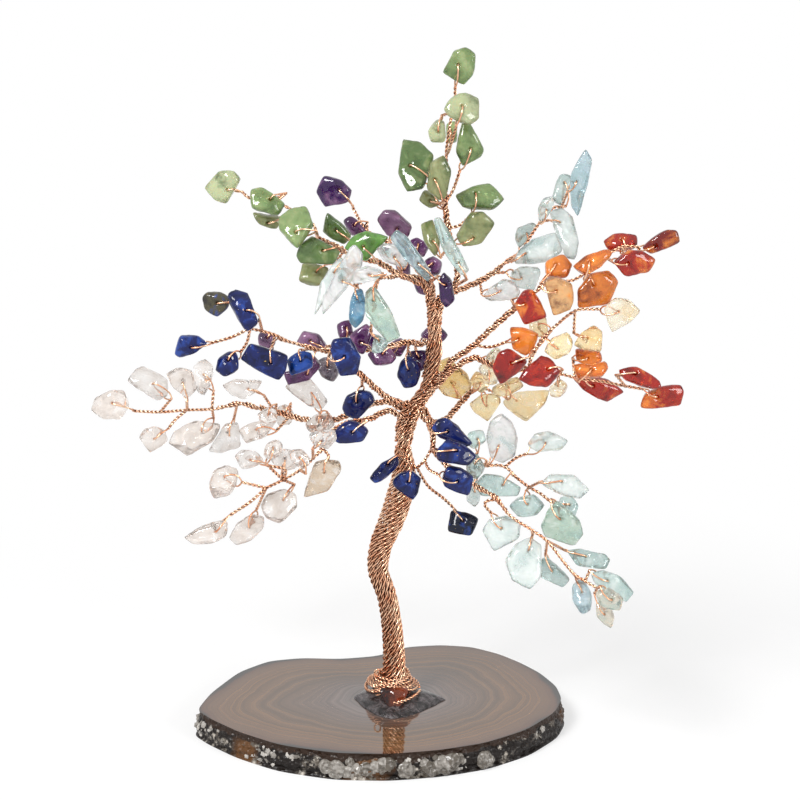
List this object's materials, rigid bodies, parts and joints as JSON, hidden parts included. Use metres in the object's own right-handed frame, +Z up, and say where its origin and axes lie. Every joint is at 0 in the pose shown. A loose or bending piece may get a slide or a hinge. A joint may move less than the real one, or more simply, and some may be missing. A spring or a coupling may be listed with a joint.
{
  "type": "gemstone tree ornament",
  "caption": "Twisted wire tree whose boughs carry drilled polished stones in wire loops, standing on a polished slice of agate.",
  "frame": {"origin": "on the slice's flat underside, straight below the middle of the trunk's foot", "axes": "+Z up along the trunk, -Y towards the viewer, +X to the viewer's right"},
  "size_m": [0.1707, 0.0792, 0.2023],
  "materials": {
    "agate": "polished",
    "clear_glue": "gloss",
    "copper_wire": "bright",
    "aventurine": "polished",
    "amethyst": "polished",
    "aquamarine": "polished",
    "carnelian": "polished",
    "red_carnelian": "polished",
    "citrine": "polished",
    "lapis_lazuli": "polished",
    "clear_quartz": "polished"
  },
  "bodies": {
    "root": {"agate_slice": "agate", "glue_pad": "clear_glue", "trunk_core": "copper_wire", "outer_trunk_strands": "copper_wire", "inner_trunk_strands": "copper_wire", "root_coil": "copper_wire", "crown_aventurine_stones": "aventurine", "crown_aquamarine_stone": "aquamarine", "upper_left_aventurine_stones": "aventurine", "upper_amethyst_stones": "amethyst", "front_aquamarine_stones": "aquamarine", "upper_right_aquamarine_stones": "aquamarine", "upper_carnelian_stones": "carnelian", "orange_carnelian_stone": "carnelian", "lower_carnelian_stones": "carnelian", "red_carnelian_stones": "red_carnelian", "right_citrine_stones": "citrine", "low_citrine_stones": "citrine", "right_lapis_stones": "lapis_lazuli", "lower_right_aquamarine_stones": "aquamarine", "foot_aquamarine_stones": "aquamarine", "left_lapis_stones": "lapis_lazuli", "lower_amethyst_stones": "amethyst", "middle_lapis_stone": "lapis_lazuli", "upper_quartz_stones": "clear_quartz", "lower_quartz_stones": "clear_quartz", "inner_lapis_stone": "lapis_lazuli", "crown_bough_wire": "copper_wire", "upper_left_bough_wire": "copper_wire", "back_bough_wire": "copper_wire", "front_left_bough_wire": "copper_wire", "upper_right_bough_wire": "copper_wire", "right_upper_bough_wire": "copper_wire", "right_lower_bough_wire": "copper_wire", "low_right_bough_wire": "copper_wire", "lower_right_bough_wire": "copper_wire", "left_bough_wire": "copper_wire", "middle_bough_wire": "copper_wire", "far_left_bough_wire": "copper_wire", "low_left_bough_wire": "copper_wire"}
  },
  "joints": []
}
